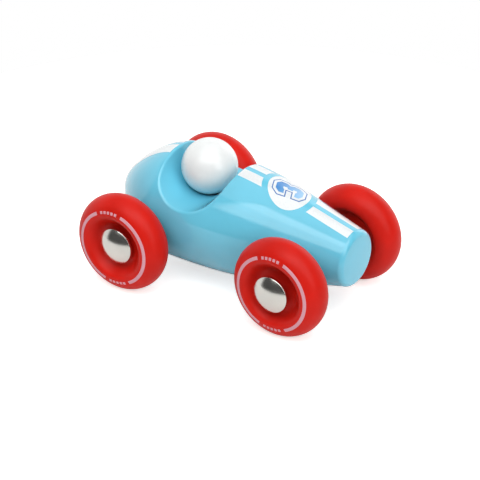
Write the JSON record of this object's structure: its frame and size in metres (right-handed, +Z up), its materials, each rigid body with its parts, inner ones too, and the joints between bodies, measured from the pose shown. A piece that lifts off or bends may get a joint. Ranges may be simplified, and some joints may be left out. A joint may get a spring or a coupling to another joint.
{
  "type": "toy racing car",
  "caption": "Small push-along wooden toy racing car: lacquered egg-shaped body with a scooped cockpit, ball head, and soft wheels spinning on steel axles under domed caps.",
  "frame": {"origin": "on the floor, below the middle of the car's outer box", "axes": "+X towards the nose, +Y to the car's left, +Z up; the wheels turn about Y"},
  "size_m": [0.112, 0.0798, 0.0563],
  "materials": {
    "body_lacquer": "sky-blue gloss lacquer on turned wood, with white printed stripes and a white number disc",
    "head_lacquer": "white gloss lacquer on a turned wooden ball",
    "beech": "plain beech, unfinished",
    "axle_steel": "plain drawn steel rod",
    "wheel_rubber": "moulded red rubber with a satin skin and a printed pale ring",
    "cap_nickel": "bright nickel-plated pressed steel",
    "spring_steel": "stamped spring steel",
    "spacer_plastic": "dark grey moulded tube"
  },
  "bodies": {
    "car_body": {"body": "body_lacquer", "driver_head": "head_lacquer", "head_dowel": "beech", "front_left_spacer": "spacer_plastic", "front_right_spacer": "spacer_plastic", "rear_left_spacer": "spacer_plastic", "rear_right_spacer": "spacer_plastic"},
    "front_axle_set": {"front_axle": "axle_steel", "front_left_cap": "cap_nickel", "front_left_grip_ring": "spring_steel", "front_right_cap": "cap_nickel", "front_right_grip_ring": "spring_steel"},
    "rear_axle_set": {"rear_axle": "axle_steel", "rear_left_cap": "cap_nickel", "rear_left_grip_ring": "spring_steel", "rear_right_cap": "cap_nickel", "rear_right_grip_ring": "spring_steel"},
    "front_left_wheel_set": {"front_left_wheel": "wheel_rubber"},
    "front_right_wheel_set": {"front_right_wheel": "wheel_rubber"},
    "rear_left_wheel_set": {"rear_left_wheel": "wheel_rubber"},
    "rear_right_wheel_set": {"rear_right_wheel": "wheel_rubber"}
  },
  "joints": [
    {"name": "front_axle_spin", "type": "hinge", "parent": "car_body", "child": "front_axle_set", "pos_m": [0.036, 0, 0.02], "axis": [0, 1, 0], "continuous": true},
    {"name": "rear_axle_spin", "type": "hinge", "parent": "car_body", "child": "rear_axle_set", "pos_m": [-0.0344, 0, 0.02], "axis": [0, 1, 0], "continuous": true},
    {"name": "front_left_wheel_spin", "type": "hinge", "parent": "front_axle_set", "child": "front_left_wheel_set", "pos_m": [0.036, 0.02625, 0.02], "axis": [0, 1, 0], "continuous": true},
    {"name": "front_right_wheel_spin", "type": "hinge", "parent": "front_axle_set", "child": "front_right_wheel_set", "pos_m": [0.036, -0.02625, 0.02], "axis": [0, 1, 0], "continuous": true},
    {"name": "rear_left_wheel_spin", "type": "hinge", "parent": "rear_axle_set", "child": "rear_left_wheel_set", "pos_m": [-0.0344, 0.03225, 0.02], "axis": [0, 1, 0], "continuous": true},
    {"name": "rear_right_wheel_spin", "type": "hinge", "parent": "rear_axle_set", "child": "rear_right_wheel_set", "pos_m": [-0.0344, -0.03225, 0.02], "axis": [0, 1, 0], "continuous": true}
  ]
}
